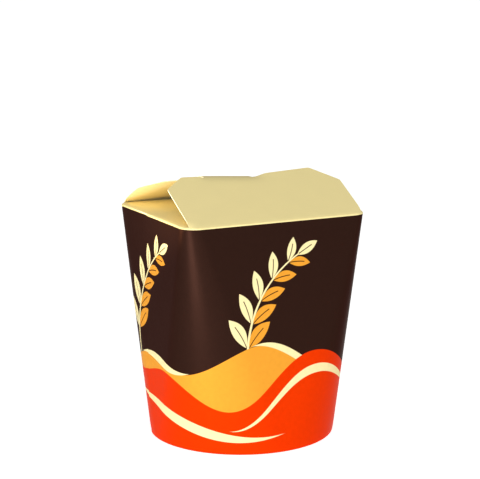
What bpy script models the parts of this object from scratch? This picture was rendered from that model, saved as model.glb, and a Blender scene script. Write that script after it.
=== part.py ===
"""Noodle takeaway box, filled and shut, in metres with Z up.

The printed wall starts as a circle at the foot and turns into a rounded rectangle at the mouth. A base disc
is set up into the foot. Two side flaps lie level across the mouth, the front and back flaps lean together
over them like a low roof, and the front flap's tongue is tucked in under the back flap.

The front looks towards -Y. The origin is the middle of the foot, on the table.
"""

from math import cos, pi, radians, sin

import bmesh
import bpy
from mathutils import Vector

# The wall, measured on its outside
CREASE_HEIGHT = 0.108
MOUTH_WIDTH = 0.0940
MOUTH_DEPTH = 0.0806
MOUTH_CORNER_RADIUS = 0.0076
FOOT_RADIUS = 0.0445

# The board, and the space between two pieces of it
BOARD = 0.0005
GAP = 0.0003

# The folded rim round the mouth, and the shallow bed inside it where the side flaps lie
FOLD_RADIUS = 0.0010
RIM_WIDTH = 0.0016
BED_DEPTH = 0.0009

# The foot ring, and the base disc set up into it
FOOT_THICKNESS = 0.0019
BASE_HEIGHT = 0.0080
BASE_FLANGE_CLEARANCE = 0.0012
BASE_FOLD_RADIUS = 0.0016

# The side flaps, which widen from the root to a shoulder and narrow again to the tip
SIDE_FLAP_ROOT = 0.0654
SIDE_FLAP_NECK = 0.0740
SIDE_FLAP_WIDTH = 0.0760
SIDE_FLAP_TIP = 0.0650
SIDE_FLAP_NECK_DEPTH = 0.0020
SIDE_FLAP_SHOULDER_DEPTH = 0.0057
SIDE_FLAP_TIP_RADIUS = 0.0030

# The front and back flaps, whose depths are measured up the slope from the fold
ROOF_ROOT_WIDTH = 0.0888
ROOF_WIDTH = 0.0902
ROOT_LIFT_HALFWAY = 0.0006
ROOT_LIFT_AT_END = 0.0014
FRONT_SLOPE = radians(27.2)
FRONT_DEPTH = 0.0383
FRONT_LEFT_SIDE_DEPTH = 0.0286
FRONT_RIGHT_SIDE_DEPTH = 0.0268
FRONT_FAR_WIDTH = 0.0672
BACK_SLOPE_AT_FOLD = radians(29)
BACK_SLOPE_AT_EDGE = radians(20.5)
BACK_DEPTH = 0.0330
BACK_SIDE_DEPTH = 0.0243
BACK_FAR_WIDTH = 0.0730
BACK_SAG = radians(5)
BACK_SAG_CENTRE = 0.006
BACK_SAG_REACH = 0.036

# The tongue, which starts left of the middle and bends down to go under the back flap
TONGUE_LEFT = -0.0218
TONGUE_RIGHT = 0.0026
TONGUE_ROOT_LEFT = 0.0377
TONGUE_ROOT_RIGHT = 0.0361
TONGUE_END = 0.0625
TONGUE_TAPER = 0.0018
TONGUE_TIP_RADIUS = 0.0070
BEND_START = 0.0308
BEND_SLANT = 0.125
BEND_RADIUS = 0.018
BEND_TURN = radians(55)
BEND_FADE_LEFT = 0.0034
BEND_FADE_RIGHT = 0.0075

# The cut corners of the flaps
ROOT_END_RADIUS = 0.0004
CUT_CORNER_RADIUS = 0.0006
TONGUE_ROOT_RADIUS = 0.0008
ROOF_CORNER_RADIUS = 0.0009

# Smoothness: the pieces of each arc, and the lines along which a flap can bend
CORNER_STEPS = 12
CUT_CORNER_STEPS = 4
FOLD_STEPS = 5
TURN_STEPS = 72
SLOPE_STEPS = 48
BACK_LINES_ACROSS = 13
BACK_LINES_ALONG = 10
FADE_LINES_LEFT = 4
FADE_LINES_RIGHT = 5
TONGUE_LINES = 7
BEND_LINES = 17
MERGE_DISTANCE = 0.000001

# Each finish: its colour and roughness
PRINTED_BOARD = ((0.032, 0.013, 0.009), 0.35)
CREAM_BOARD = ((0.80, 0.66, 0.30), 0.50)
BASE_BOARD = ((0.82, 0.74, 0.50), 0.60)


def new_collection(name):
    collection = bpy.data.collections.new(name)
    bpy.context.scene.collection.children.link(collection)
    return collection


def board_material(name, finish):
    colour, roughness = finish
    material = bpy.data.materials.new(name)
    material.use_nodes = True
    shader = material.node_tree.nodes["Principled BSDF"]
    shader.inputs["Base Color"].default_value = (*colour, 1)
    shader.inputs["Roughness"].default_value = roughness
    shader.inputs["Metallic"].default_value = 0
    return material


def add_object(name, bm, finish, collection):
    mesh = bpy.data.meshes.new(name)
    bm.to_mesh(mesh)
    bm.free()
    mesh.materials.append(board_material(name + "_finish", finish))
    piece = bpy.data.objects.new(name, mesh)
    collection.objects.link(piece)
    return piece


def shade_smooth(piece, sharp_angle=radians(30)):
    piece.data.shade_smooth()
    piece.data.set_sharp_from_angle(angle=sharp_angle)


def wall_level(bm, share, inset, height):
    """One level of the wall, from a circle at share 0 to the mouth's rounded rectangle at share 1."""
    reach_x = share * (MOUTH_WIDTH / 2 - MOUTH_CORNER_RADIUS)
    reach_y = share * (MOUTH_DEPTH / 2 - MOUTH_CORNER_RADIUS)
    radius = (1 - share) * FOOT_RADIUS + share * MOUTH_CORNER_RADIUS - inset
    level = []
    for quarter, (side_x, side_y) in enumerate([(1, 1), (-1, 1), (-1, -1), (1, -1)]):
        for step in range(CORNER_STEPS + 1):
            angle = (quarter + step / CORNER_STEPS) * pi / 2
            x = side_x * reach_x + radius * cos(angle)
            y = side_y * reach_y + radius * sin(angle)
            level.append(bm.verts.new((x, y, height)))
    return level


def make_body(collection):
    """The filled box inside its wall: foot ring, printed wall, folded rim and the bed for the side flaps."""
    bm = bmesh.new()
    rim_height = CREASE_HEIGHT + FOLD_RADIUS
    levels = [
        wall_level(bm, 0, FOOT_THICKNESS, BASE_HEIGHT),
        wall_level(bm, 0, FOOT_THICKNESS, 0),
        wall_level(bm, 0, 0, 0),
        wall_level(bm, 1, 0, CREASE_HEIGHT),
    ]
    for step in range(1, FOLD_STEPS + 1):
        angle = step / FOLD_STEPS * pi / 2
        inset = FOLD_RADIUS * (1 - cos(angle))
        levels.append(wall_level(bm, 1, inset, CREASE_HEIGHT + FOLD_RADIUS * sin(angle)))
    levels.append(wall_level(bm, 1, RIM_WIDTH, rim_height))
    levels.append(wall_level(bm, 1, RIM_WIDTH, rim_height - BED_DEPTH))
    for lower, upper in zip(levels, levels[1:]):
        for i in range(len(lower)):
            j = (i + 1) % len(lower)
            bm.faces.new((lower[i], lower[j], upper[j], upper[i]))
    bm.faces.new(levels[0][::-1])
    bm.faces.new(levels[-1])
    bmesh.ops.remove_doubles(bm, verts=bm.verts[:], dist=MERGE_DISTANCE)
    bmesh.ops.recalc_face_normals(bm, faces=bm.faces[:])
    shade_smooth(add_object("box_body", bm, PRINTED_BOARD, collection))


def quarter_turn(centre_across, centre_height, radius):
    """The points of a fold's section, from its top round to its outermost point."""
    points = []
    for step in range(FOLD_STEPS + 1):
        angle = step / FOLD_STEPS * pi / 2
        points.append((centre_across + radius * sin(angle), centre_height + radius * cos(angle)))
    return points


def make_base(collection):
    """The base disc: board pressed into a shallow cup, its flange turned down inside the foot ring."""
    outer = FOOT_RADIUS - FOOT_THICKNESS - GAP
    top = BASE_HEIGHT - GAP
    fold_centre = (outer - BASE_FOLD_RADIUS, top - BASE_FOLD_RADIUS)
    upper_side = [(0, top)] + quarter_turn(*fold_centre, BASE_FOLD_RADIUS) + [(outer, BASE_FLANGE_CLEARANCE)]
    lower_side = [(0, top - BOARD)] + quarter_turn(*fold_centre, BASE_FOLD_RADIUS - BOARD)
    lower_side.append((outer - BOARD, BASE_FLANGE_CLEARANCE))
    bm = bmesh.new()
    points = [bm.verts.new((across, 0, height)) for across, height in upper_side + lower_side[::-1]]
    for one, other in zip(points, points[1:]):
        bm.edges.new((one, other))
    disc = add_object("base_disc", bm, BASE_BOARD, collection)
    screw = disc.modifiers.new("turn", "SCREW")
    screw.steps = TURN_STEPS
    screw.render_steps = TURN_STEPS
    screw.use_merge_vertices = True
    screw.merge_threshold = MERGE_DISTANCE
    screw.use_smooth_shade = True


def rounded(corners, radii):
    """An outline with each corner eased into a short curve."""
    outline = []
    for i, corner in enumerate(corners):
        here = Vector(corner)
        start = here + (Vector(corners[i - 1]) - here).normalized() * radii[i]
        end = here + (Vector(corners[(i + 1) % len(corners)]) - here).normalized() * radii[i]
        for step in range(CUT_CORNER_STEPS + 1):
            k = step / CUT_CORNER_STEPS
            outline.append(start * (1 - k) ** 2 + here * 2 * k * (1 - k) + end * k**2)
    return outline


def score(bm, direction, places):
    """Divides a flat panel along parallel lines, so that it can bend there."""
    normal = Vector(direction)
    for place in places:
        everything = bm.verts[:] + bm.edges[:] + bm.faces[:]
        bmesh.ops.bisect_plane(
            bm, geom=everything, dist=MERGE_DISTANCE, plane_co=normal * place, plane_no=normal
        )


def spread(start, end, count):
    return [start + (end - start) * i / (count - 1) for i in range(count)]


def cut_panel(name, outline, across, along, place, collection):
    """A flap: its flat outline is scored, bent into place by a rule and given the board's thickness."""
    bm = bmesh.new()
    bm.faces.new([bm.verts.new((x, depth, 0)) for x, depth in outline])
    score(bm, (1, 0, 0), across)
    score(bm, (0, 1, 0), along)
    for vert in bm.verts:
        vert.co = place(vert.co.x, vert.co.y)
    panel = add_object(name, bm, CREAM_BOARD, collection)
    shade_smooth(panel)
    thickness = panel.modifiers.new("board", "SOLIDIFY")
    thickness.thickness = BOARD
    thickness.offset = -1
    thickness.use_even_offset = True


def climb(slope_at, depth):
    """How far along and how high a strip of board has come at a depth, where its slope follows a rule."""
    step = depth / SLOPE_STEPS
    level = sum(cos(slope_at((i + 0.5) * step)) for i in range(SLOPE_STEPS)) * step
    rise = sum(sin(slope_at((i + 0.5) * step)) for i in range(SLOPE_STEPS)) * step
    return level, rise


def smooth_step(x):
    x = min(max(x, 0), 1)
    return x * x * (3 - 2 * x)


def roof_root(slope):
    """The three points, from the middle outwards, where a leaning flap starts inside the folded rim."""
    straight = MOUTH_WIDTH / 2 - MOUTH_CORNER_RADIUS
    tangent = FOLD_RADIUS * (1 - sin(slope))
    inner = RIM_WIDTH + GAP
    return [
        (straight, (inner - tangent) / cos(slope)),
        ((straight + ROOF_ROOT_WIDTH / 2) / 2, (inner - tangent + ROOT_LIFT_HALFWAY) / cos(slope)),
        (ROOF_ROOT_WIDTH / 2, (inner - tangent + ROOT_LIFT_AT_END) / cos(slope)),
    ]


def mirrored(half):
    """A whole outline, counterclockwise, from its right half given from root to tip."""
    return half + [(-x, depth) for x, depth in reversed(half)]


def make_side_flap(name, side, collection):
    """A level flap, hinged at the left or right rim and reaching almost to the middle of the mouth."""
    root_x = MOUTH_WIDTH / 2 - RIM_WIDTH - GAP
    half = [
        (SIDE_FLAP_ROOT / 2, 0),
        (SIDE_FLAP_NECK / 2, SIDE_FLAP_NECK_DEPTH),
        (SIDE_FLAP_WIDTH / 2, SIDE_FLAP_SHOULDER_DEPTH),
        (SIDE_FLAP_TIP / 2, root_x - GAP),
    ]
    height = CREASE_HEIGHT + FOLD_RADIUS - BED_DEPTH + GAP + BOARD

    def place(across, depth):
        return Vector((side * (root_x - depth), side * across, height))

    radii = [CUT_CORNER_RADIUS, CUT_CORNER_RADIUS, CUT_CORNER_RADIUS, SIDE_FLAP_TIP_RADIUS]
    outline = rounded(mirrored(half), radii + radii[::-1])
    cut_panel(name, outline, [0], [SIDE_FLAP_SHOULDER_DEPTH], place, collection)


def make_back_flap(collection):
    """The back flap, bowed upwards, which rises from the back rim and rests on the front flap's tongue."""
    half = roof_root(BACK_SLOPE_AT_FOLD)
    half += [(ROOF_WIDTH / 2, BACK_SIDE_DEPTH), (BACK_FAR_WIDTH / 2, BACK_DEPTH)]
    fold_y = MOUTH_DEPTH / 2 - FOLD_RADIUS * (1 - sin(BACK_SLOPE_AT_FOLD))
    fold_z = CREASE_HEIGHT + FOLD_RADIUS * cos(BACK_SLOPE_AT_FOLD)

    def place(across, depth):
        x = -across
        sag = BACK_SAG * (1 - smooth_step(abs(x - BACK_SAG_CENTRE) / BACK_SAG_REACH))
        fall = BACK_SLOPE_AT_FOLD - BACK_SLOPE_AT_EDGE + sag
        level, rise = climb(lambda s: BACK_SLOPE_AT_FOLD - fall * s / BACK_DEPTH, depth)
        return Vector((x, fold_y - level, fold_z + rise))

    root_radii = [ROOT_END_RADIUS, CUT_CORNER_RADIUS, CUT_CORNER_RADIUS]
    radii = root_radii + [ROOF_CORNER_RADIUS, ROOF_CORNER_RADIUS]
    outline = rounded(mirrored(half), radii + radii[::-1])
    across = spread(-BACK_SAG_REACH, BACK_SAG_REACH, BACK_LINES_ACROSS)
    along = spread(0, BACK_DEPTH, BACK_LINES_ALONG + 2)[1:-1]
    cut_panel("back_flap", outline, across, along, place, collection)


def bend_start(x):
    """The depth at which the tongue starts to bend: the bend's line slants across it."""
    return BEND_START - BEND_SLANT * (x - (TONGUE_LEFT + TONGUE_RIGHT) / 2)


def make_front_flap(collection):
    """The front flap, which rises from the front rim, and its tongue, which dives under the back flap."""
    root = roof_root(FRONT_SLOPE)
    fold_y = -MOUTH_DEPTH / 2 + FOLD_RADIUS * (1 - sin(FRONT_SLOPE))
    fold_z = CREASE_HEIGHT + FOLD_RADIUS * cos(FRONT_SLOPE)
    corners = root + [
        (ROOF_WIDTH / 2, FRONT_RIGHT_SIDE_DEPTH),
        (FRONT_FAR_WIDTH / 2, FRONT_DEPTH),
        (TONGUE_RIGHT, TONGUE_ROOT_RIGHT),
        (TONGUE_RIGHT - TONGUE_TAPER, TONGUE_END),
        (TONGUE_LEFT + TONGUE_TAPER, TONGUE_END),
        (TONGUE_LEFT, TONGUE_ROOT_LEFT),
        (-FRONT_FAR_WIDTH / 2, FRONT_DEPTH),
        (-ROOF_WIDTH / 2, FRONT_LEFT_SIDE_DEPTH),
    ] + [(-x, depth) for x, depth in reversed(root)]
    bend_length = BEND_RADIUS * BEND_TURN

    def place(x, depth):
        fade = smooth_step((x - TONGUE_LEFT) / BEND_FADE_LEFT + 1)
        fade *= smooth_step((TONGUE_RIGHT - x) / BEND_FADE_RIGHT + 1)

        def slope_at(s):
            return FRONT_SLOPE - fade * BEND_TURN * min(max((s - bend_start(x)) / bend_length, 0), 1)

        level, rise = climb(slope_at, depth)
        return Vector((x, fold_y + level, fold_z + rise))

    root_radii = [ROOT_END_RADIUS, CUT_CORNER_RADIUS, CUT_CORNER_RADIUS]
    far_radii = [ROOF_CORNER_RADIUS, ROOF_CORNER_RADIUS, TONGUE_ROOT_RADIUS]
    half_radii = root_radii + far_radii + [TONGUE_TIP_RADIUS]
    fade_left = TONGUE_LEFT - BEND_FADE_LEFT
    fade_right = TONGUE_RIGHT + BEND_FADE_RIGHT
    across = spread(fade_left, TONGUE_LEFT, FADE_LINES_LEFT)
    across += spread(TONGUE_LEFT, TONGUE_RIGHT, TONGUE_LINES)[1:]
    across += spread(TONGUE_RIGHT, fade_right, FADE_LINES_RIGHT)[1:]
    along = spread(bend_start(fade_right), bend_start(fade_left) + bend_length, BEND_LINES)
    outline = rounded(corners, half_radii + half_radii[::-1])
    cut_panel("front_flap", outline, across, along, place, collection)


def clear_scene():
    for piece in list(bpy.data.objects):
        bpy.data.objects.remove(piece)


clear_scene()
noodle_box = new_collection("noodle_takeaway_box")
make_body(noodle_box)
make_base(noodle_box)
make_side_flap("left_flap", -1, noodle_box)
make_side_flap("right_flap", 1, noodle_box)
make_back_flap(noodle_box)
make_front_flap(noodle_box)
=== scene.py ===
from math import asin, cos, pi, radians, sin

import bmesh
import bpy
from mathutils import Matrix, Vector


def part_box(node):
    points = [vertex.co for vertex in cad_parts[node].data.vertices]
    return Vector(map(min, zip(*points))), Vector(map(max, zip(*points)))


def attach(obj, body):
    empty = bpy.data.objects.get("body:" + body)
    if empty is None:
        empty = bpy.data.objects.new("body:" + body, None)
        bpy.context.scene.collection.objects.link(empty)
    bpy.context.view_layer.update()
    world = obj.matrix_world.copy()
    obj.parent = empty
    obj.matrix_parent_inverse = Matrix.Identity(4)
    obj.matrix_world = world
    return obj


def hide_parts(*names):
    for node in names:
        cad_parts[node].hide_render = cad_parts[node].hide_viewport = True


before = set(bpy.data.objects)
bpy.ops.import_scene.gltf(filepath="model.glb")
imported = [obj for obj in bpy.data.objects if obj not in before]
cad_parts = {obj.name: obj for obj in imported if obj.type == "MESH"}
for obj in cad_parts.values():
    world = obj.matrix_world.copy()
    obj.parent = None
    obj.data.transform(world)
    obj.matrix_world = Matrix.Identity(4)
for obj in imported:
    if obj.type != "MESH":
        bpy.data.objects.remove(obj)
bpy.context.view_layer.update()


# The camera stands in front of the box and a little to its left, and looks down on it.
CAMERA_AIM = Vector((0, 0, 0.054))
CAMERA_DISTANCE = 0.810
CAMERA_AZIMUTH = radians(26.47)
CAMERA_ELEVATION = radians(13.763)
CAMERA_PAN = radians(-0.024)
CAMERA_TILT = radians(-2.718)
CAMERA_ROLL = radians(-0.182)
SENSOR_WIDTH = 36
FOCAL_LENGTH = 125.76


def towards_camera(azimuth, elevation):
    return Vector((-sin(azimuth) * cos(elevation), -cos(azimuth) * cos(elevation), sin(elevation)))


camera_place = CAMERA_AIM + towards_camera(CAMERA_AZIMUTH, CAMERA_ELEVATION) * CAMERA_DISTANCE
back = towards_camera(CAMERA_AZIMUTH + CAMERA_PAN, CAMERA_ELEVATION + CAMERA_TILT)
right = Vector((0, 0, 1)).cross(back).normalized()
up = back.cross(right)
camera_right = right * cos(CAMERA_ROLL) + up * sin(CAMERA_ROLL)
camera_up = up * cos(CAMERA_ROLL) - right * sin(CAMERA_ROLL)
camera_axes = Matrix((camera_right, camera_up, back)).transposed()
camera_data = bpy.data.cameras.new("camera")
camera_data.sensor_width = SENSOR_WIDTH
camera_data.lens = FOCAL_LENGTH
camera = bpy.data.objects.new("camera", camera_data)
camera.matrix_world = Matrix.Translation(camera_place) @ camera_axes.to_4x4()
bpy.context.scene.collection.objects.link(camera)
bpy.context.scene.camera = camera
bpy.context.scene.view_settings.view_transform = "Standard"


# The light: a white room, a wide soft panel above the camera, a small low one on the left, whose sheen lies on
# the rounded front corner, and a small warm one beside the left flap, which fills the gap under the flaps.
ROOM_BRIGHTNESS = 0.38
WHITE_LIGHT = (1, 1, 1)
WARM_LIGHT = (1, 0.80, 0.50)
KEY_PANEL = ((-0.55, -1.30, 0.68), (0, 0, 0.054), (1.00, 0.80), 13.0, WHITE_LIGHT)
LOW_PANEL = ((-0.21, -0.12, 0.02), (-0.043, -0.037, 0.095), (0.08, 0.07), 0.24, WHITE_LIGHT)
GAP_PANEL = ((-0.078, -0.014, 0.108), (-0.042, 0.012, 0.150), (0.04, 0.03), 0.028, WARM_LIGHT)

room = bpy.data.worlds.new("room")
room.use_nodes = True
room.node_tree.nodes["Background"].inputs["Color"].default_value = (1, 1, 1, 1)
room.node_tree.nodes["Background"].inputs["Strength"].default_value = ROOM_BRIGHTNESS
bpy.context.scene.world = room
for place, target, size, power, tint in (KEY_PANEL, LOW_PANEL, GAP_PANEL):
    panel_data = bpy.data.lights.new("soft_panel", "AREA")
    panel_data.shape = "RECTANGLE"
    panel_data.size, panel_data.size_y = size
    panel_data.energy = power
    panel_data.color = tint
    panel = bpy.data.objects.new("soft_panel", panel_data)
    panel.location = place
    panel.rotation_euler = (Vector(place) - Vector(target)).to_track_quat("Z", "Y").to_euler()
    bpy.context.scene.collection.objects.link(panel)


# The table: a plain sheet of white glass, lit a little from below, that runs on past the edges of the view.
TABLE_SIZE = 12.0
TABLE_WHITE = (0.92, 0.92, 0.915)
TABLE_GLOW = 0.70


class Ink:
    """A value or colour in a shader, which Python's operators work on."""

    def __init__(self, tree, socket=None):
        self.tree = tree
        self.socket = socket

    def node(self, kind, settings=None, sockets=None, output=0):
        """Adds a node: its settings are made first, then its sockets are set or linked."""
        added = self.tree.nodes.new(kind)
        for name, value in (settings or {}).items():
            setattr(added, name, value)
        for name, value in (sockets or {}).items():
            if isinstance(value, Ink):
                self.tree.links.new(value.socket, added.inputs[name])
            else:
                added.inputs[name].default_value = value
        return Ink(self.tree, added.outputs[output])

    def maths(self, operation, *others):
        return self.node("ShaderNodeMath", {"operation": operation}, dict(enumerate((self, *others))))

    def __add__(self, other):
        return self.maths("ADD", other)

    def __sub__(self, other):
        return self.maths("SUBTRACT", other)

    def __rsub__(self, other):
        return self.node("ShaderNodeMath", {"operation": "SUBTRACT"}, {0: other, 1: self})

    def __mul__(self, other):
        return self.maths("MULTIPLY", other)

    def __truediv__(self, other):
        return self.maths("DIVIDE", other)

    __radd__ = __add__
    __rmul__ = __mul__

    def scaled(self, factor):
        """This colour or vector, made longer or brighter by a factor."""
        return self.node("ShaderNodeVectorMath", {"operation": "SCALE"}, {"Vector": self, "Scale": factor})

    def painted(self, colour, mask):
        """This colour with another one laid over it where the mask is 1."""
        return self.node("ShaderNodeMix", {"data_type": "RGBA"}, {0: mask, 6: self, 7: colour}, output=2)


def new_material(name, constants):
    """A new material, where its shader maths starts, and its shader."""
    material = bpy.data.materials.new(name)
    material.use_nodes = True
    shader = material.node_tree.nodes["Principled BSDF"]
    for socket, value in constants.items():
        shader.inputs[socket].default_value = value
    return material, Ink(material.node_tree), shader


def feed(shader, socket, value):
    value.tree.links.new(value.socket, shader.inputs[socket])


def add_piece(name, bm, *materials):
    mesh = bpy.data.meshes.new(name)
    bm.to_mesh(mesh)
    bm.free()
    for material in materials:
        mesh.materials.append(material)
    mesh.shade_smooth()
    piece = bpy.data.objects.new(name, mesh)
    bpy.context.scene.collection.objects.link(piece)
    return piece


glow = {"Emission Color": (1, 1, 1, 1), "Emission Strength": TABLE_GLOW}
table_finish, ink, shader = new_material("table_top", {"Roughness": 0.6, "Specular IOR Level": 0.2, **glow})
place = ink.node("ShaderNodeTexCoord", output="Object")
cloud = ink.node("ShaderNodeTexNoise", sockets={"Vector": place, "Scale": 3.0, "Detail": 2.0})
white = ink.node("ShaderNodeRGB")
white.socket.default_value = (*TABLE_WHITE, 1)
feed(shader, "Base Color", white.scaled(cloud * 0.02 + 0.99))
bm = bmesh.new()
bmesh.ops.create_grid(bm, x_segments=1, y_segments=1, size=TABLE_SIZE / 2)
table = add_piece("table", bm, table_finish)


# The printed wall: one sheet of paperboard, wrapped round so that its end is glued over its start on the left
# face. It is scored and folded over at the mouth, and its foot is turned in and up round the base as a hem.
body_low, body_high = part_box("box_body")
MOUTH_WIDTH = 2 * body_high.x
MOUTH_DEPTH = 0.0806
MOUTH_CORNER = 0.0076
FOOT_RADIUS = body_high.y
CREASE_HEIGHT = 0.108
FOLD_RADIUS = body_high.z - CREASE_HEIGHT
COVERED_FOLD = radians(60)
BOARD = 0.0005
CUT_EDGE_ROUNDING = 0.00006
HEM_HEIGHT = 0.0071
HEM_FOLD = 0.00095
SEAM_AT_FOOT = 0.0101
SEAM_AT_MOUTH = 0.0040
SEAM_LAP = 0.009
SEAM_STEP = 0.00053
SEAM_EASE = 0.026
BACK_CORNER_DIP = 0.0011
WALL_COLUMNS = 300
WALL_ROWS = 44
HEM_ROWS = 4
FOLD_ROWS = 7


def wall_lengths(share):
    """The straight half width and half depth of the wall's section, its corner radius and its corner arc."""
    radius = (1 - share) * FOOT_RADIUS + share * MOUTH_CORNER
    half_width = share * (MOUTH_WIDTH / 2 - MOUTH_CORNER)
    half_depth = share * (MOUTH_DEPTH / 2 - MOUTH_CORNER)
    return half_width, half_depth, radius, radius * pi / 2


def wall_point(share, along):
    """The point of the wall's section that lies a length round from the middle of the front, and the way out."""
    half_width, half_depth, radius, _ = wall_lengths(share)
    side = 1 if along >= 0 else -1
    rest = abs(along)
    x, y, heading = 0.0, -half_depth - radius, 0.0
    for straight in (half_width, 2 * half_depth, 2 * half_width, 2 * half_depth, half_width):
        step = min(rest, straight)
        x += step * cos(heading)
        y += step * sin(heading)
        rest -= step
        turn = min(rest / radius, pi / 2)
        x += radius * (sin(heading + turn) - sin(heading))
        y -= radius * (cos(heading + turn) - cos(heading))
        heading += turn
        rest -= turn * radius
    return Vector((side * x, y, 0)), Vector((side * sin(heading), -cos(heading), 0))


def smooth_step(x):
    x = min(max(x, 0), 1)
    return x * x * (3 - 2 * x)


def section_length(share):
    half_width, half_depth, _, arc = wall_lengths(share)
    return 4 * (half_width + half_depth + arc)


def wall_sheet_point(share, inset, height, across):
    """Where a point of the sheet comes to lie, and where the artwork, fanned to close round the box, puts it.

    Across runs from 0 at the sheet's outer end to 1 at its inner end.
    """
    half_width, half_depth, _, arc = wall_lengths(share)
    round_length = section_length(share)
    seam = half_width + arc + half_depth + SEAM_AT_FOOT + (SEAM_AT_MOUTH - SEAM_AT_FOOT) * share
    along = across * (round_length + SEAM_LAP) - seam
    ease = smooth_step((along - (round_length - seam - SEAM_EASE)) / SEAM_EASE)
    point, outward = wall_point(share, along)
    point -= outward * (inset + SEAM_STEP * ease)
    point.z = height
    dip = BACK_CORNER_DIP * max(2 * abs(outward.x) * outward.y, 0) * share ** 8
    return point, along * section_length(1) / round_length, dip


def board_piece(name, bm, *materials):
    """A sheet of board: its printed face, its bare face and its cut edges."""
    piece = add_piece(name, bm, *materials)
    board = piece.modifiers.new("board", "SOLIDIFY")
    board.thickness = BOARD
    board.offset = -1
    board.use_even_offset = True
    board.material_offset = 1
    board.material_offset_rim = 2
    soft_edge = piece.modifiers.new("soft_edge", "BEVEL")
    soft_edge.width = CUT_EDGE_ROUNDING
    soft_edge.segments = 1
    soft_edge.limit_method = "ANGLE"
    soft_edge.angle_limit = radians(50)
    soft_edge.harden_normals = True
    return piece


wall_section = []
for row in range(HEM_ROWS):
    wall_section.append((0, 2 * HEM_FOLD, HEM_HEIGHT + (HEM_FOLD - HEM_HEIGHT) * row / HEM_ROWS))
for row in range(FOLD_ROWS + 1):
    angle = pi * row / FOLD_ROWS
    wall_section.append((0, HEM_FOLD * (1 + cos(angle)), HEM_FOLD * (1 - sin(angle))))
for row in range(1, WALL_ROWS + 1):
    height = HEM_FOLD + (CREASE_HEIGHT - HEM_FOLD) * row / WALL_ROWS
    wall_section.append((height / CREASE_HEIGHT, 0, height))
for row in range(1, FOLD_ROWS + 1):
    angle = COVERED_FOLD * row / FOLD_ROWS
    inset = FOLD_RADIUS * (1 - cos(angle))
    wall_section.append((1, inset, CREASE_HEIGHT + FOLD_RADIUS * sin(angle)))

# The height of each row on the flat sheet, which is its real height all the way up the wall
flat_heights = [0]
for (_, inset, height), (_, next_inset, next_height) in zip(wall_section, wall_section[1:]):
    flat_heights.append(flat_heights[-1] + Vector((next_inset - inset, next_height - height)).length)
foot_row = HEM_ROWS + FOLD_ROWS
flat_foot = flat_heights[foot_row] - wall_section[foot_row][2]

bm = bmesh.new()
rows = len(wall_section) - 1
bmesh.ops.create_grid(bm, x_segments=WALL_COLUMNS, y_segments=rows, size=0.5)
flat_map = bm.loops.layers.uv.new("flat")
wrapped = {}
for vert in bm.verts:
    row = round((vert.co.y + 0.5) * rows)
    point, along, dip = wall_sheet_point(*wall_section[row], vert.co.x + 0.5)
    wrapped[vert] = (point, (along, flat_heights[row] - flat_foot + dip))
for face in bm.faces:
    for loop in face.loops:
        loop[flat_map].uv = wrapped[loop.vert][1]
for vert, (point, _) in wrapped.items():
    vert.co = point

# The print: hills round the foot and leafy sprigs on the dark ground above them, in millimetres on the sheet
PRINT_REPEAT = 83.8
INK_EDGE = 0.12
BROWN = (0.0265, 0.0108, 0.0074, 1)
RED = (0.70, 0.034, 0.0005, 1)
AMBER = (0.73, 0.305, 0.030, 1)
PALE = (0.82, 0.70, 0.36, 1)
CREAM = (0.93, 0.785, 0.365, 1)
SPRIG_LEFT = 35.0
STEM_ROOT = (-19.0, 34.0)
STEM_LENGTH = 70.0
STEM_START = radians(100)
STEM_END = radians(28)
STEM_RADIUS = STEM_LENGTH / (STEM_START - STEM_END)
STEM_HALF_WIDTH = 0.75
STEM_TAPER = 0.007
STEM_BURIED = 8.0
LEAF_PAIRS = 5
LEAF_FIRST = 0.24
LEAF_LAST = 0.90
LEAF_LENGTH = 18.5
LEAF_SHRINK = 8.0
LEAF_SPLAY = radians(40)
LEAF_BOW = 0.05
LEAF_HALF_WIDTH = 0.20
RIB_HALF_WIDTH = 0.22
INK_SHEEN = 0.6
MILLIMETRES = 1000.0

print_look = {"Specular IOR Level": 0.012, "Specular Tint": (0.5, 0.42, 0.40, 1)}
print_finish, ink, shader = new_material("printed_board", print_look)
flat = ink.node("ShaderNodeUVMap", {"uv_map": "flat"})
flat_axes = {"Vector": flat.scaled(MILLIMETRES)}
print_x = ink.node("ShaderNodeSeparateXYZ", sockets=flat_axes, output=0)
print_y = ink.node("ShaderNodeSeparateXYZ", sockets=flat_axes, output=1)


def inside(distance):
    """A mask that is 1 where a distance is above 0, with the soft edge that ink has."""
    settings = {"operation": "MULTIPLY_ADD", "use_clamp": True}
    return distance.node("ShaderNodeMath", settings, {0: distance, 1: 1 / INK_EDGE, 2: 0.5})


def both(mask, other):
    return mask.maths("MINIMUM", other)


def swell(x, height, rise, shift):
    """A wave along the print, at a height, with the print's repeat."""
    return (x * (2 * pi / PRINT_REPEAT) + shift).maths("SINE") * rise + height


def stroke(line, half_width):
    """A line whose width swells and shrinks, as if drawn with a brush."""
    return inside(half_width - (line - print_y).maths("ABSOLUTE"))


def leaf(x, y, at, turn, length, bow):
    """A pointed leaf with a bare midrib."""
    across, up_page = x - at[0], y - at[1]
    on_length = (across * cos(turn) + up_page * sin(turn)) * (2 / length)
    body = 1 - on_length * on_length
    off_rib = (up_page * cos(turn) - across * sin(turn) - body * bow).maths("ABSOLUTE")
    blade = inside(body * (length * LEAF_HALF_WIDTH) - off_rib)
    rib = both(inside(RIB_HALF_WIDTH - off_rib), inside((0.45 - on_length) * 5))
    return both(blade, 1 - rib)


def stem_point(share):
    """A point of the sprig's stem, which is an arc, and the way it runs there."""
    heading = STEM_START + (STEM_END - STEM_START) * share
    x = STEM_ROOT[0] + STEM_RADIUS * (sin(STEM_START) - sin(heading))
    y = STEM_ROOT[1] - STEM_RADIUS * (cos(STEM_START) - cos(heading))
    return x, y, heading


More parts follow.
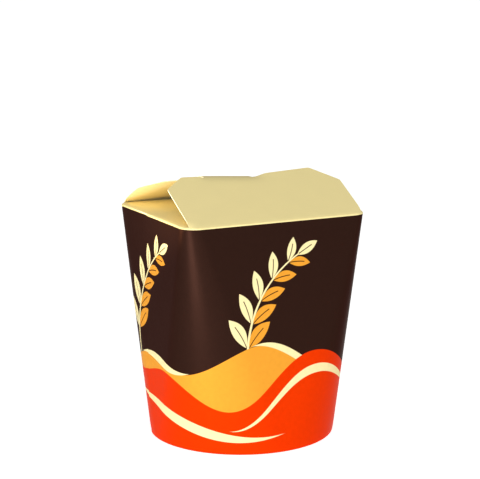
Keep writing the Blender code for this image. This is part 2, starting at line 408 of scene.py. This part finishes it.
sprig_x = ((print_x + SPRIG_LEFT) / PRINT_REPEAT).maths("FRACT") * PRINT_REPEAT - SPRIG_LEFT
centre_x = STEM_ROOT[0] + STEM_RADIUS * sin(STEM_START)
centre_y = STEM_ROOT[1] - STEM_RADIUS * cos(STEM_START)
off_x, off_y = sprig_x - centre_x, print_y - centre_y
off_arc = ((off_x * off_x + off_y * off_y).maths("SQRT") - STEM_RADIUS).maths("ABSOLUTE")
above_root = print_y - STEM_ROOT[1]
tip_x, tip_y, tip_heading = stem_point(1)
stem = inside((STEM_HALF_WIDTH - above_root * STEM_TAPER) - off_arc)
stem = both(both(stem, inside(tip_x - sprig_x)), inside(above_root + STEM_BURIED))
colour = ink.node("ShaderNodeRGB")
colour.socket.default_value = BROWN
colour = colour.painted(PALE, stem)
for pair in range(LEAF_PAIRS):
    share = LEAF_FIRST + (LEAF_LAST - LEAF_FIRST) * pair / (LEAF_PAIRS - 1)
    x, y, heading = stem_point(share)
    length = LEAF_LENGTH - LEAF_SHRINK * share
    for side, leaf_colour in ((1, PALE), (-1, AMBER)):
        turn = heading + side * LEAF_SPLAY
        at = (x + cos(turn) * length * 0.56, y + sin(turn) * length * 0.56)
        blade = leaf(sprig_x, print_y, at, turn, length, -side * length * LEAF_BOW)
        colour = colour.painted(leaf_colour, blade)
tip_leaf = (tip_x + 5 * cos(tip_heading), tip_y + 5 * sin(tip_heading))
colour = colour.painted(PALE, leaf(sprig_x, print_y, tip_leaf, tip_heading, 12, 0))
slow_x = print_x * 0.5
far_hill = swell(print_x, 41, 5.5, 2.3) + swell(slow_x, 0, 6.0, 2.4)
near_hill = swell(print_x, 34, 7.0, 0.4) + swell(slow_x, 0, 7.5, 0.2)
colour = colour.painted(AMBER, inside(far_hill - print_y))
colour = colour.painted(PALE, stroke(far_hill + 0.4, swell(print_x, 0.4, 1.5, 1.0)))
colour = colour.painted(RED, inside(near_hill - print_y))
furrow = near_hill - 8 - swell(slow_x, 0, 2, 2.0)
colour = colour.painted(PALE, stroke(furrow, swell(slow_x, 0.4, 1.7, 0.9)))
furrow = swell(slow_x, 14, 6.5, -0.9)
colour = colour.painted(PALE, stroke(furrow, swell(slow_x, 0.9, 1.7, -2.6)))
colour = colour.painted(CREAM, inside(print_y - CREASE_HEIGHT * MILLIMETRES))
mottle = ink.node("ShaderNodeTexNoise", sockets={"Vector": flat, "Scale": 420.0, "Detail": 4.0})
feed(shader, "Base Color", colour.scaled(mottle * 0.16 + 0.92))
feed(shader, "Roughness", mottle * 0.14 + 0.33)
redness = ink.node("ShaderNodeSeparateColor", sockets={"Color": colour})
feed(shader, "Metallic", INK_SHEEN - redness * INK_SHEEN)
fibre = ink.node("ShaderNodeTexNoise", sockets={"Vector": flat, "Scale": 1500.0, "Detail": 3.0})
ripple = ink.node("ShaderNodeTexNoise", sockets={"Vector": flat, "Scale": 45.0, "Detail": 1.0})
relief = fibre * 0.00002 + ripple * 0.0004
feed(shader, "Normal", ink.node("ShaderNodeBump", sockets={"Height": relief, "Strength": 0.5, "Distance": 1.0}))

# The board itself: its bare face, which is inside the box, and the fibres of its cut edges
BARE_BOARD = (0.93, 0.80, 0.42)
CUT_EDGE = (0.93, 0.87, 0.66)


def board_finish(name, tone, roughness, grain):
    """A bare or evenly coated face of board, with its fibres."""
    material, ink, shader = new_material(name, {"Specular IOR Level": 0.2})
    flat = ink.node("ShaderNodeUVMap", {"uv_map": "flat"})
    base = ink.node("ShaderNodeRGB")
    base.socket.default_value = (*tone, 1)
    cloud = ink.node("ShaderNodeTexNoise", sockets={"Vector": flat, "Scale": 90.0, "Detail": 5.0})
    fibre = ink.node("ShaderNodeTexNoise", sockets={"Vector": flat, "Scale": 1500.0, "Detail": 3.0})
    feed(shader, "Base Color", base.scaled(cloud * grain + fibre * grain + (1 - grain)))
    feed(shader, "Roughness", cloud * 0.1 + (roughness - 0.05))
    relief = {"Height": fibre * 0.00002, "Strength": 0.5, "Distance": 1.0}
    feed(shader, "Normal", ink.node("ShaderNodeBump", sockets=relief))
    return material


bare_finish = board_finish("bare_board", BARE_BOARD, 0.6, 0.06)
edge_finish = board_finish("cut_edge", CUT_EDGE, 0.8, 0.10)
wall = board_piece("wall", bm, print_finish, bare_finish, edge_finish)
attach(wall, "root")
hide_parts("box_body")


# The side flaps: part of the same sheet as the wall, folded level across the mouth first. They narrow towards
# the fold and the tip, so that they clear the front and back walls, and almost meet in the middle.
SIDE_FOLD_HALF = MOUTH_DEPTH / 2 - MOUTH_CORNER
SIDE_NECK_HALF = 0.0370
SIDE_NECK_DEPTH = 0.0034
SIDE_WIDEST_HALF = 0.0380
SIDE_TIP_HALF = 0.0325
SIDE_WIDEST_DEPTH = 0.0066
SIDE_MIDDLE_GAP = 0.0003
SIDE_SINK = 0.00012
SIDE_SINK_LENGTH = 0.003
SIDE_ROOT_TURN = radians(37)
ROOT_ARC_STEPS = 6
FOLD_TAKEN_OVER = radians(48)
FOLD_LIFT = 0.00002
CUT_SEGMENTS = 5
SCORE_PITCH = 0.002


def cut_board(corners):
    """A flat cut of board from its corners, each with the radius that rounds it, scored so that it can bend."""
    bm = bmesh.new()
    points = [bm.verts.new((x, depth, 0)) for x, depth, _ in corners]
    bm.faces.new(points)
    rounding = {"affect": "VERTICES", "segments": CUT_SEGMENTS, "profile": 0.5, "material": -1}
    for point, (_, _, radius) in zip(points, corners):
        if radius:
            bmesh.ops.bevel(bm, geom=[point], offset=radius, **rounding)
    for normal in (Vector((1, 0, 0)), Vector((0, 1, 0))):
        reach = [vert.co.dot(normal) for vert in bm.verts]
        first, last = round(min(reach) / SCORE_PITCH), round(max(reach) / SCORE_PITCH)
        for line in range(first, last + 1):
            geometry = bm.verts[:] + bm.edges[:] + bm.faces[:]
            cut = {"plane_co": normal * line * SCORE_PITCH, "plane_no": normal}
            bmesh.ops.bisect_plane(bm, geom=geometry, dist=1e-6, **cut)
    bmesh.ops.triangulate(bm, faces=[face for face in bm.faces if len(face.verts) > 4])
    return bm


def bend(bm, place):
    """Keeps the flat cut as the sheet's map, and moves its points to where they lie when it is folded."""
    flat_map = bm.loops.layers.uv.new("flat")
    for face in bm.faces:
        for loop in face.loops:
            loop[flat_map].uv = loop.vert.co.xy
    for vert in bm.verts:
        vert.co = place(vert.co.x, vert.co.y)


def mirrored(half):
    """All the corners of a cut, counterclockwise, from its right half given from fold to tip."""
    return half + [(-x, depth, radius) for x, depth, radius in reversed(half)]


def fold_point(slope, depth):
    """How far in from the wall, and how high, a flap's sheet lies on the fold, before it runs straight."""
    angle = pi / 2 - slope + depth / FOLD_RADIUS
    lift = FOLD_LIFT * (2 * smooth_step(1 + depth / fold_start(slope)) - 1)
    return FOLD_RADIUS * (1 - cos(angle)), CREASE_HEIGHT + FOLD_RADIUS * sin(angle) + lift


def fold_start(slope):
    """The length of the fold that belongs to a flap."""
    return (pi / 2 - slope - FOLD_TAKEN_OVER) * FOLD_RADIUS


def root_depth(slope, half, across):
    """How far back on a flap its fold lies, where it follows the rounded corner of the mouth."""
    radius = MOUTH_CORNER - FOLD_RADIUS * (1 - sin(slope))
    return radius * (1 - cos(asin(max(abs(across) - half, 0) / radius))) / cos(slope)


def root_corners(slope, half, turn):
    """The right half of a flap's root, from where it leaves the straight fold to where it is cut free."""
    radius = MOUTH_CORNER - FOLD_RADIUS * (1 - sin(slope))
    corners = []
    for step in range(ROOT_ARC_STEPS + 1):
        across = half + radius * sin(turn * step / ROOT_ARC_STEPS)
        corners.append((across, root_depth(slope, half, across) - fold_start(slope), 0))
    return corners


cream_finish = board_finish("cream_print", CREAM[:3], 0.5, 0.05)
for side_name, side in (("left", -1), ("right", 1)):
    half = root_corners(0, SIDE_FOLD_HALF, SIDE_ROOT_TURN) + [
        (SIDE_NECK_HALF, SIDE_NECK_DEPTH, 0.0004),
        (SIDE_WIDEST_HALF, SIDE_WIDEST_DEPTH, 0.0006),
        (SIDE_TIP_HALF, MOUTH_WIDTH / 2 - FOLD_RADIUS - SIDE_MIDDLE_GAP, 0.0030),
    ]

    def place_side(across, depth):
        root = root_depth(0, SIDE_FOLD_HALF, across)
        inset, height = fold_point(0, min(depth - root, 0))
        sink = SIDE_SINK * smooth_step((depth - root) / SIDE_SINK_LENGTH)
        return Vector((side * (MOUTH_WIDTH / 2 - inset - max(depth, root)), side * across, height - sink))

    bm = cut_board(mirrored(half))
    bend(bm, place_side)
    flap = board_piece(side_name + "_side_flap", bm, cream_finish, bare_finish, edge_finish)
    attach(flap, "root")
    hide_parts(side_name + "_flap")


# The front flap: part of the same sheet, folded back over the side flaps. Its tongue, left of the middle, is
# bent down and pushed in under the back flap, which holds the box shut.
FRONT_SLOPE = radians(27.2)
ROOF_ROOT_TURN = radians(45)
ROOF_ROOT_EASE = 0.0025
ROOF_HALF = 0.0451
ROOF_CORNER = 0.0009
FRONT_DEPTH = 0.0383
FRONT_LEFT_HALF = 0.0438
FRONT_LEFT_SIDE = 0.0300
FRONT_RIGHT_SIDE = 0.0268
FRONT_FAR_HALF = 0.0336
TONGUE_LEFT = -0.0218
TONGUE_RIGHT = 0.0026
TONGUE_ROOT_LEFT = 0.0377
TONGUE_ROOT_RIGHT = 0.0361
TONGUE_END = 0.0625
TONGUE_TAPER = 0.0018
TONGUE_TIP = 0.0070
BEND_START = 0.0308
BEND_SLANT = 0.125
BEND_RADIUS = 0.018
BEND_TURN = radians(55)
BEND_FADE_LEFT = 0.0034
BEND_FADE_RIGHT = 0.0075
SLOPE_STEPS = 48

roof_fold_half = MOUTH_WIDTH / 2 - MOUTH_CORNER


def climb(slope_at, depth):
    """How far along and how high a strip of board has come at a depth, where its slope follows a rule."""
    step = depth / SLOPE_STEPS
    level = sum(cos(slope_at((i + 0.5) * step)) for i in range(SLOPE_STEPS)) * step
    rise = sum(sin(slope_at((i + 0.5) * step)) for i in range(SLOPE_STEPS)) * step
    return level, rise


def roof_point(slope_at, across, depth):
    """How far in from the wall, and how high, a point lies on a flap whose root follows the mouth's corners."""
    root = root_depth(slope_at(0), roof_fold_half, across)
    inset, height = fold_point(slope_at(0), min(depth - root, 0))
    level, rise = climb(slope_at, max(depth, root))
    drop = root * sin(slope_at(0)) * (1 - smooth_step((depth - root) / ROOF_ROOT_EASE))
    return inset + level, height + rise - drop


def place_front(x, depth):
    fade = smooth_step((x - TONGUE_LEFT) / BEND_FADE_LEFT + 1)
    fade *= smooth_step((TONGUE_RIGHT - x) / BEND_FADE_RIGHT + 1)
    start = BEND_START - BEND_SLANT * (x - (TONGUE_LEFT + TONGUE_RIGHT) / 2)

    def slope_at(s):
        return FRONT_SLOPE - fade * BEND_TURN * min(max((s - start) / (BEND_RADIUS * BEND_TURN), 0), 1)

    inset, height = roof_point(slope_at, x, depth)
    return Vector((x, inset - MOUTH_DEPTH / 2, height))


root = root_corners(FRONT_SLOPE, roof_fold_half, ROOF_ROOT_TURN)
right_half = root + [
    (ROOF_HALF, FRONT_RIGHT_SIDE, ROOF_CORNER),
    (FRONT_FAR_HALF, FRONT_DEPTH, ROOF_CORNER),
    (TONGUE_RIGHT, TONGUE_ROOT_RIGHT, 0.0008),
    (TONGUE_RIGHT - TONGUE_TAPER, TONGUE_END, TONGUE_TIP),
]
left_half = root + [
    (FRONT_LEFT_HALF, FRONT_LEFT_SIDE, ROOF_CORNER),
    (FRONT_FAR_HALF, FRONT_DEPTH, ROOF_CORNER),
    (-TONGUE_LEFT, TONGUE_ROOT_LEFT, 0.0008),
    (-TONGUE_LEFT - TONGUE_TAPER, TONGUE_END, TONGUE_TIP),
]
bm = cut_board(right_half + [(-x, depth, radius) for x, depth, radius in reversed(left_half)])
bend(bm, place_front)
front_flap = board_piece("front_flap_and_tongue", bm, cream_finish, bare_finish, edge_finish)
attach(front_flap, "root")
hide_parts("front_flap")


# The back flap: part of the same sheet, folded forwards. It rests on the tongue and is bowed up by it.
BACK_SLOPE_AT_FOLD = radians(29)
BACK_SLOPE_AT_EDGE = radians(20.5)
BACK_DEPTH = 0.0330
BACK_SIDE = 0.0243
BACK_FAR_HALF = 0.0365
BACK_SAG = radians(5)
BACK_SAG_CENTRE = 0.006
BACK_SAG_REACH = 0.036


def place_back(across, depth):
    x = -across
    sag = BACK_SAG * (1 - smooth_step(abs(x - BACK_SAG_CENTRE) / BACK_SAG_REACH))
    fall = BACK_SLOPE_AT_FOLD - BACK_SLOPE_AT_EDGE + sag
    inset, height = roof_point(lambda s: BACK_SLOPE_AT_FOLD - fall * s / BACK_DEPTH, x, depth)
    return Vector((x, MOUTH_DEPTH / 2 - inset, height))


root = root_corners(BACK_SLOPE_AT_FOLD, roof_fold_half, ROOF_ROOT_TURN)
half = root + [(ROOF_HALF, BACK_SIDE, ROOF_CORNER), (BACK_FAR_HALF, BACK_DEPTH, ROOF_CORNER)]
bm = cut_board(mirrored(half))
bend(bm, place_back)
back_flap = board_piece("back_flap_over_tongue", bm, cream_finish, bare_finish, edge_finish)
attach(back_flap, "root")
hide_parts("back_flap")


# The base: a disc of board pressed into a shallow cup. It is set up into the foot, and its flange is held in
# the hem of the wall.
base_low, base_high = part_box("base_disc")
BASE_FOLD = 0.0016
BASE_DISH = 0.0004
BASE_TURNS = 96
BASE_COLOUR = (0.80, 0.73, 0.52)

bm = bmesh.new()
section = [(0, base_high.z - BASE_DISH), (base_high.x * 0.6, base_high.z - BASE_DISH)]
for step in range(7):
    angle = pi / 2 * step / 6
    section.append((base_high.x - BASE_FOLD * (1 - sin(angle)), base_high.z - BASE_FOLD * (1 - cos(angle))))
section.append((base_high.x, base_low.z))
points = [bm.verts.new((across, 0, height)) for across, height in section]
edges = [bm.edges.new(pair) for pair in zip(points, points[1:])]
turn = {"cent": (0, 0, 0), "axis": (0, 0, 1), "angle": 2 * pi, "steps": BASE_TURNS, "use_merge": True}
bmesh.ops.spin(bm, geom=points + edges, **turn)
bmesh.ops.remove_doubles(bm, verts=bm.verts[:], dist=1e-6)
bmesh.ops.recalc_face_normals(bm, faces=bm.faces[:])
flat_map = bm.loops.layers.uv.new("flat")
for face in bm.faces:
    for loop in face.loops:
        loop[flat_map].uv = loop.vert.co.xy
base_finish = board_finish("base_board", BASE_COLOUR, 0.6, 0.08)
base = board_piece("base", bm, base_finish, base_finish, edge_finish)
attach(base, "root")
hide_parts("base_disc")
